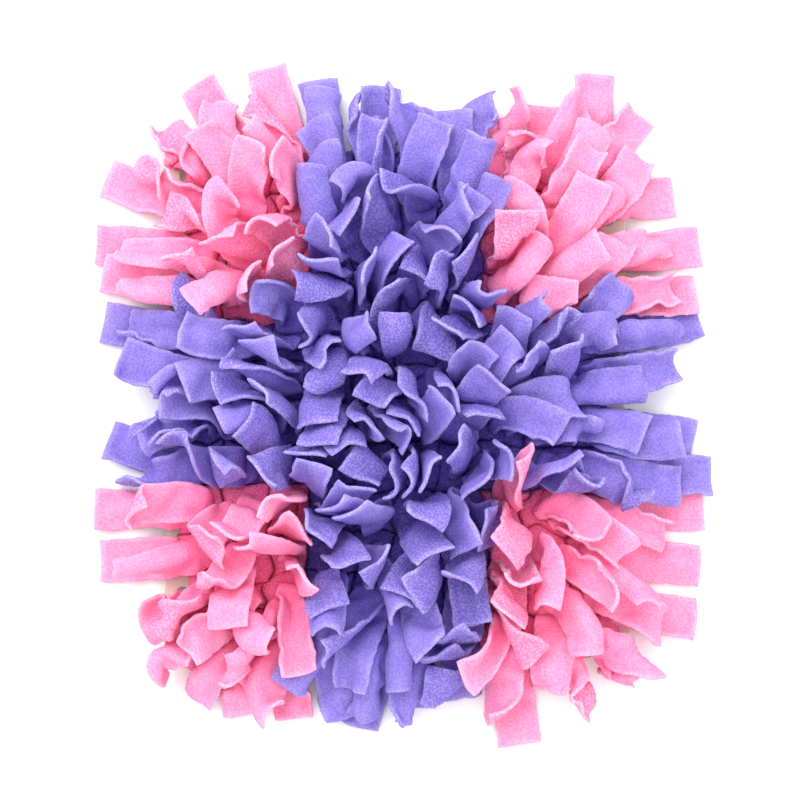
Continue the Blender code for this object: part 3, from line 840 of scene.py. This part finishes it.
def add_holed_plate(builder, base):
    """The base mat: a rounded plate with a round hole in the middle of each of its cells."""
    steps = base.hole_steps
    faces = []
    for row in range(HOLE_ROWS):
        for column in range(HOLE_COLUMNS):
            centre = Vector((hole_x(column), hole_y(row), BASE_BOTTOM))
            hole, cell = [], []
            for step in range(steps):
                turn = 2 * math.pi * step / steps
                out = Vector((math.cos(turn), math.sin(turn), 0))
                hole.append(builder.verts.new(centre + out * HOLE_RADIUS))
                corner = centre + out * (HOLE_PITCH / 2 / max(abs(out.x), abs(out.y)))
                cell.append(builder.verts.new(on_plate(corner)))
            for i in range(steps):
                j = (i + 1) % steps
                faces.append(builder.faces.new((hole[i], cell[i], cell[j], hole[j])))
    bmesh.ops.remove_doubles(builder, verts=builder.verts, dist=WELD_DISTANCE)
    made = bmesh.ops.extrude_face_region(builder, geom=builder.faces[:], use_keep_orig=True)
    bmesh.ops.translate(builder, vec=(0, 0, BASE_THICKNESS), verts=[
        part for part in made["geom"] if isinstance(part, bmesh.types.BMVert)])
    bmesh.ops.recalc_face_normals(builder, faces=builder.faces)
    sharp = [edge for edge in builder.edges
             if edge.calc_face_angle(0) > math.radians(SHARP_ANGLE)
             and abs(edge.verts[0].co.z - edge.verts[1].co.z) < LEVEL_TOLERANCE]
    bmesh.ops.bevel(builder, geom=sharp, offset=base.edge_rounding, segments=ROUNDING_STEPS,
                    profile=0.5, affect="EDGES", clamp_overlap=True)


def on_plate(place):
    """A corner of a cell, brought in to the outline of the plate."""
    x = max(-HALF_BASE_X, min(HALF_BASE_X, place.x))
    y = max(-HALF_BASE_Y, min(HALF_BASE_Y, place.y))
    centre = Vector((math.copysign(HALF_BASE_X - BASE_CORNER_RADIUS, x),
                     math.copysign(HALF_BASE_Y - BASE_CORNER_RADIUS, y)))
    away = Vector((x, y)) - centre
    if away.x * x > 0 and away.y * y > 0 and away.length > BASE_CORNER_RADIUS:
        x, y = centre + away.normalized() * BASE_CORNER_RADIUS
    return Vector((x, y, place.z))


# ---------------------------------------------------------------- materials

# Pink's grains get a stronger painted highlight on top and a stronger painted shade between
# them than purple's.
PURPLE_FLEECE = "#8F80D0"
PINK_FLEECE = "#FF9BC2"
PINK_GRAIN_SHADE = 1.3
CREAM_RUBBER = "#EFE6D2"
WHITE_SWEEP = "#FFFFFF"


def linear(hex_colour):
    """A linear RGBA colour from an sRGB hex value."""
    parts = [int(hex_colour[i:i + 2], 16) / 255 for i in (1, 3, 5)]
    return (*(p / 12.92 if p <= 0.04045 else ((p + 0.055) / 1.055) ** 2.4 for p in parts), 1)


def add_node(material, kind, links=(), **settings):
    """Adds a node, with its settings, and links (input, source socket) into it.

    A name that several sockets share, as those of a mix do, means the enabled one.
    """
    tree = material.node_tree
    node = tree.nodes.new(kind)
    values = settings.pop("inputs", {})
    set_all(node, settings)

    def socket(name):
        if isinstance(name, int):
            return node.inputs[name]
        return next(s for s in node.inputs if s.name == name and s.enabled)

    for name, value in values.items():
        socket(name).default_value = value
    for name, source in links:
        tree.links.new(source, socket(name))
    return node


def add_material(name, values):
    """A new material and its shader, with these values at the shader's inputs."""
    material = bpy.data.materials.new(name)
    material.use_nodes = True
    shader = material.node_tree.nodes["Principled BSDF"]
    for label, value in values.items():
        shader.inputs[label].default_value = value
    return material, shader


def polar_fleece(name, colour, nap, grain_shade=1.0):
    """Brushed polar fleece: knitted polyester with a soft raised nap.

    The nap of the face pills into small rounded grains; their tops are painted paler as a
    highlight and the hollows between them painted deeper in colour as shade, as strongly
    as the grain shade asks; the back is smoother. Cut edges are painted paler still as a
    highlight, and towards the knot, and over the knots and loops, a painted shade gives the
    colour at its deepest. The fibres give a soft bloom of their own colour at a low angle,
    and no gloss.
    """
    material, shader = add_material(name, {
        "Roughness": 1.0, "Specular IOR Level": 0.05,
        "Sheen Weight": 0.15, "Sheen Roughness": 0.5, "Sheen Tint": (*colour, 1)})
    links = material.node_tree.links
    place = add_node(material, "ShaderNodeTexCoord").outputs["Object"]
    pills = add_node(material, "ShaderNodeTexVoronoi", [("Vector", place)],
                     feature="F1", inputs={"Scale": 1 / nap})
    fuzz = add_node(material, "ShaderNodeTexNoise", [("Vector", place)],
                    inputs={"Scale": 2.2 / nap, "Detail": 1.0, "Roughness": 0.6})
    patches = add_node(material, "ShaderNodeTexNoise", [("Vector", place)],
                       inputs={"Scale": 0.13 / nap, "Detail": 0.0})
    # The painted highlight of cut edges, the smoother back, and the painted shade near the
    # knots.
    edge, back, root_shade = [
        add_node(material, "ShaderNodeAttribute", attribute_name=mark).outputs["Fac"]
        for mark in MARKS]
    grain = add_node(material, "ShaderNodeMapRange", [("Value", pills.outputs["Distance"])],
                     inputs={"From Min": 0.1, "From Max": 0.75, "To Min": 1.0, "To Max": 0.0})
    height = add_node(material, "ShaderNodeMix", [
        ("A", grain.outputs["Result"]), ("B", fuzz.outputs["Fac"])],
        data_type="FLOAT", inputs={"Factor": 0.4})
    show = add_node(material, "ShaderNodeMapRange", [("Value", back)],
                    inputs={"From Min": 0.0, "From Max": 1.0, "To Min": 1.0, "To Max": 0.55})
    # Painted highlight on the tops of the grains and painted shade in the hollows between them;
    # the bumps of the grains are real texture.
    light = add_node(material, "ShaderNodeMapRange", [("Value", height.outputs["Result"])],
                     inputs={"From Min": 0.2, "From Max": 0.8,
                             "To Min": 0.30 * grain_shade, "To Max": -0.26 * grain_shade})
    shown = add_node(material, "ShaderNodeMath", [(0, light.outputs["Result"]),
                                                  (1, show.outputs["Result"])],
                     operation="MULTIPLY")
    patch = add_node(material, "ShaderNodeMapRange", [("Value", patches.outputs["Fac"])],
                     inputs={"From Min": 0.3, "From Max": 0.7, "To Min": 1.06, "To Max": 0.94})
    even = add_node(material, "ShaderNodeMath", [(0, shown.outputs["Value"]),
                                                 (1, patch.outputs["Result"])],
                    operation="ADD")
    # Painted shade towards the knots: a higher gamma deepens the colour.
    flat = add_node(material, "ShaderNodeMath", [(0, root_shade), (2, even.outputs["Value"])],
                    operation="MULTIPLY_ADD", inputs={1: 0.4})
    # Painted highlight at the cut edges: a lower gamma makes the colour paler.
    deep = add_node(material, "ShaderNodeMath", [(0, edge), (2, flat.outputs["Value"])],
                    operation="MULTIPLY_ADD", inputs={1: -0.3})
    tint = add_node(material, "ShaderNodeGamma", [("Gamma", deep.outputs["Value"])],
                    inputs={"Color": (*colour, 1)})
    links.new(tint.outputs["Color"], shader.inputs["Base Color"])
    bump = add_node(material, "ShaderNodeBump", [("Height", height.outputs["Result"]),
                                                 ("Strength", show.outputs["Result"])],
                    inputs={"Distance": nap * 0.6})
    links.new(bump.outputs["Normal"], shader.inputs["Normal"])
    return material


def moulded_rubber(name, colour):
    """Moulded rubber: an even, slightly waxy skin with the fine grain of its mould."""
    material, shader = add_material(name, {"Base Color": colour, "Roughness": 0.62, "IOR": 1.5})
    links = material.node_tree.links
    place = add_node(material, "ShaderNodeTexCoord").outputs["Object"]
    grain = add_node(material, "ShaderNodeTexNoise", [("Vector", place)],
                     inputs={"Scale": 1 / 0.0012, "Detail": 3.0})
    dust = add_node(material, "ShaderNodeTexNoise", [("Vector", place)],
                    inputs={"Scale": 1 / 0.02, "Detail": 3.0})
    shine = add_node(material, "ShaderNodeMapRange", [("Value", dust.outputs["Fac"])],
                     inputs={"From Min": 0.3, "From Max": 0.7, "To Min": 0.52, "To Max": 0.72})
    links.new(shine.outputs["Result"], shader.inputs["Roughness"])
    bump = add_node(material, "ShaderNodeBump", [("Height", grain.outputs["Fac"])],
                    inputs={"Strength": 0.3, "Distance": 0.0002})
    links.new(bump.outputs["Normal"], shader.inputs["Normal"])
    return material


def matt_paper(name, colour):
    """Plain matt backing paper, with no gloss at all."""
    return add_material(name, {"Base Color": colour, "Roughness": 1.0,
                               "Specular IOR Level": 0.0})[0]


# ---------------------------------------------------------------- pieces

_laid = {}


def laid():
    """The tails and the points they settle in, worked out once."""
    if not _laid:
        _laid["tails"] = make_tails()
        _laid["points"] = settled(_laid["tails"])
    return _laid["tails"], _laid["points"]


def add_fleece(block, finish):
    """One block of colour: its tails, its knots and its loops through the mat."""
    fleece = bpy.context.scene.snuffle_fleece
    tails, points = laid()
    own = [i for i, tail in enumerate(tails) if block_of(tail["x"], tail["y"]) == block]
    strips = [tails[i] for i in own if tails[i]["side"] > 0]
    chance = random.Random(SETTLE_SEED)
    noise.seed_set(SEED)
    # The knots and loops carry the full painted shade of the knots, and no painted edge
    # highlight.
    made = add_skins(block + "_strips", [
        strip_skins(points[own], fleece),
        (np.array([knot_skin(chance, tail) for tail in strips]), True, 0, 0, 1),
        (np.array([loop_skin(tail) for tail in strips]), False, 0, 0, 1)], finish)
    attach(made, "root")
    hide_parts(block)


def add_softbox(name, size, power, place):
    """A large square light, aimed at the middle of the mat, that the camera can't see."""
    data = bpy.data.lights.new(name, "AREA")
    data.size = size
    data.energy = power
    light = add_object(name, data)
    light.location = place
    light.rotation_euler = (-place).to_track_quat("-Z", "Y").to_euler()
    light.visible_camera = False


# ---------------------------------------------------------------- sizes and colours

class SnuffleFleece(bpy.types.PropertyGroup):
    """Sizes and colours of the fleece strips."""

    strip_thickness: FloatProperty(
        name="Strip thickness", description="Thickness of the brushed fleece",
        default=0.0027, min=0.001, max=0.004, unit="LENGTH")
    edge_wave: FloatProperty(
        name="Edge wave", description="How far the cloth strays from a smooth curve",
        default=0.0009, min=0.0, max=0.002, unit="LENGTH")
    ragged_edge: FloatProperty(
        name="Ragged edge", description="How far a cut edge strays from a straight line",
        default=0.0008, min=0.0, max=0.003, unit="LENGTH")
    nap_size: FloatProperty(
        name="Nap size", description="Size of the pilled grains of the nap",
        default=0.0015, min=0.0005, max=0.005, unit="LENGTH")
    purple: FloatVectorProperty(
        name="Purple", description="Colour of the strips of the cross",
        default=linear(PURPLE_FLEECE)[:3], min=0, max=1, subtype="COLOR")
    pink: FloatVectorProperty(
        name="Pink", description="Colour of the strips of the corners",
        default=linear(PINK_FLEECE)[:3], min=0, max=1, subtype="COLOR")


class SnuffleBase(bpy.types.PropertyGroup):
    """Sizes and colour of the moulded base mat."""

    hole_steps: IntProperty(
        name="Hole steps", description="How many short edges make a round hole",
        default=20, min=8, max=48)
    edge_rounding: FloatProperty(
        name="Edge rounding", description="Radius on the edges of the moulded mat",
        default=0.0007, min=0.0, max=0.0015, unit="LENGTH")
    rubber: FloatVectorProperty(
        name="Rubber", description="Colour of the base mat",
        default=linear(CREAM_RUBBER)[:3], min=0, max=1, subtype="COLOR")


class SnuffleStage(bpy.types.PropertyGroup):
    """The floor, the lights and the camera."""

    sweep: FloatVectorProperty(
        name="Sweep", description="Colour of the floor",
        default=linear(WHITE_SWEEP)[:3], min=0, max=1, subtype="COLOR")
    floor_size: FloatProperty(
        name="Floor size", description="Length of each side of the floor",
        default=8.0, min=1.0, max=30.0, unit="LENGTH")
    sky: FloatProperty(
        name="Sky", description="Strength of the light from all around", default=1.22,
        min=0.0, max=5.0)
    key_power: FloatProperty(
        name="Key power", description="Power of the large softbox, in watts", default=25.0,
        min=0.0, max=500.0)
    key_size: FloatProperty(
        name="Key size", description="Side of the large softbox",
        default=1.6, min=0.1, max=5.0, unit="LENGTH")
    camera_distance: FloatProperty(
        name="Camera distance", description="From the camera to the middle of the mat",
        default=1.4, min=0.5, max=5.0, unit="LENGTH")
    camera_elevation: FloatProperty(
        name="Camera elevation", description="Angle of the camera above the floor",
        default=math.radians(83), min=0.1, max=math.pi / 2, unit="ROTATION")
    view_width: FloatProperty(
        name="View width", description="How much of the floor the picture spans",
        default=0.512, min=0.1, max=3.0, unit="LENGTH")


# ---------------------------------------------------------------- operators

class SNUFFLE_OT_base_mat(bpy.types.Operator):
    """The moulded base mat with its grid of round holes."""

    bl_idname = "snuffle.base_mat"
    bl_label = "Base mat"

    def execute(self, context):
        base = context.scene.snuffle_base
        builder = bmesh.new()
        add_holed_plate(builder, base)
        finish = moulded_rubber("moulded_pale_rubber", (*base.rubber, 1))
        made = add_mesh(BASE_PIECE, builder, finish)
        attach(made, "root")
        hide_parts("base_mat")
        return {"FINISHED"}


class SNUFFLE_OT_purple_cross(bpy.types.Operator):
    """The purple strips, which fill a cross over the middle of the mat."""

    bl_idname = "snuffle.purple_cross"
    bl_label = "Purple cross"

    def execute(self, context):
        fleece = context.scene.snuffle_fleece
        finish = polar_fleece("brushed_purple_fleece", fleece.purple, fleece.nap_size)
        add_fleece(CROSS, finish)
        return {"FINISHED"}


class SNUFFLE_OT_pink_corners(bpy.types.Operator):
    """The pink strips, which fill the four corners of the mat."""

    bl_idname = "snuffle.pink_corners"
    bl_label = "Pink corners"

    def execute(self, context):
        fleece = context.scene.snuffle_fleece
        finish = polar_fleece("brushed_pink_fleece", fleece.pink, fleece.nap_size, PINK_GRAIN_SHADE)
        for corner, _, _ in PINK_CORNERS:
            add_fleece(corner, finish)
        return {"FINISHED"}


class SNUFFLE_OT_stage(bpy.types.Operator):
    """The white floor, the soft light and the camera."""

    bl_idname = "snuffle.stage"
    bl_label = "Stage"

    def execute(self, context):
        stage = context.scene.snuffle_stage
        scene = context.scene
        builder = bmesh.new()
        half = stage.floor_size / 2
        outline = rectangle(-half, half, -half, half)
        builder.faces.new([builder.verts.new((x, y, 0)) for x, y in outline])
        floor = add_mesh("floor", builder, matt_paper("matt_paper", (*stage.sweep, 1)))

        world = bpy.data.worlds.new("studio")
        scene.world = world
        world.use_nodes = True
        background = world.node_tree.nodes["Background"]
        background.inputs["Color"].default_value = (1, 1, 1, 1)
        background.inputs["Strength"].default_value = stage.sky

        add_softbox("key_softbox", stage.key_size, stage.key_power, Vector(KEY_PLACE))
        add_softbox("fill_softbox", stage.key_size * FILL_SIZE_SHARE,
                    stage.key_power * FILL_POWER_SHARE, Vector(FILL_PLACE))

        data = bpy.data.cameras.new("camera")
        camera = add_object("camera", data)
        aim = Vector(CAMERA_AIM)
        away = Vector((0, -math.cos(stage.camera_elevation), math.sin(stage.camera_elevation)))
        camera.location = aim + away * stage.camera_distance
        camera.rotation_euler = (-away).to_track_quat("-Z", "Y").to_euler()
        data.sensor_width = SENSOR_WIDTH
        data.lens = data.sensor_width * stage.camera_distance / stage.view_width
        scene.camera = camera
        scene.view_settings.view_transform = "Standard"
        return {"FINISHED"}


OPERATORS = (SNUFFLE_OT_base_mat, SNUFFLE_OT_purple_cross, SNUFFLE_OT_pink_corners,
             SNUFFLE_OT_stage)
SETTINGS = (("snuffle_fleece", SnuffleFleece), ("snuffle_base", SnuffleBase),
            ("snuffle_stage", SnuffleStage))


class SNUFFLE_PT_panel(bpy.types.Panel):
    """The mat's sizes, and a button for each of its pieces."""

    bl_label = "Snuffle mat"
    bl_space_type = "VIEW_3D"
    bl_region_type = "UI"
    bl_category = "Snuffle mat"

    def draw(self, context):
        for name, group in SETTINGS:
            box = self.layout.box()
            settings = getattr(context.scene, name)
            for field in group.__annotations__:
                box.prop(settings, field)
        for operator in OPERATORS:
            self.layout.operator(operator.bl_idname)


def register():
    for name, group in SETTINGS:
        bpy.utils.register_class(group)
        setattr(bpy.types.Scene, name, PointerProperty(type=group))
    for part in (*OPERATORS, SNUFFLE_PT_panel):
        bpy.utils.register_class(part)


def unregister():
    for part in (SNUFFLE_PT_panel, *reversed(OPERATORS)):
        bpy.utils.unregister_class(part)
    for name, group in reversed(SETTINGS):
        delattr(bpy.types.Scene, name)
        bpy.utils.unregister_class(group)


def main():
    register()
    bpy.ops.snuffle.base_mat()
    bpy.ops.snuffle.purple_cross()
    bpy.ops.snuffle.pink_corners()
    bpy.ops.snuffle.stage()


if __name__ == "__main__":
    main()
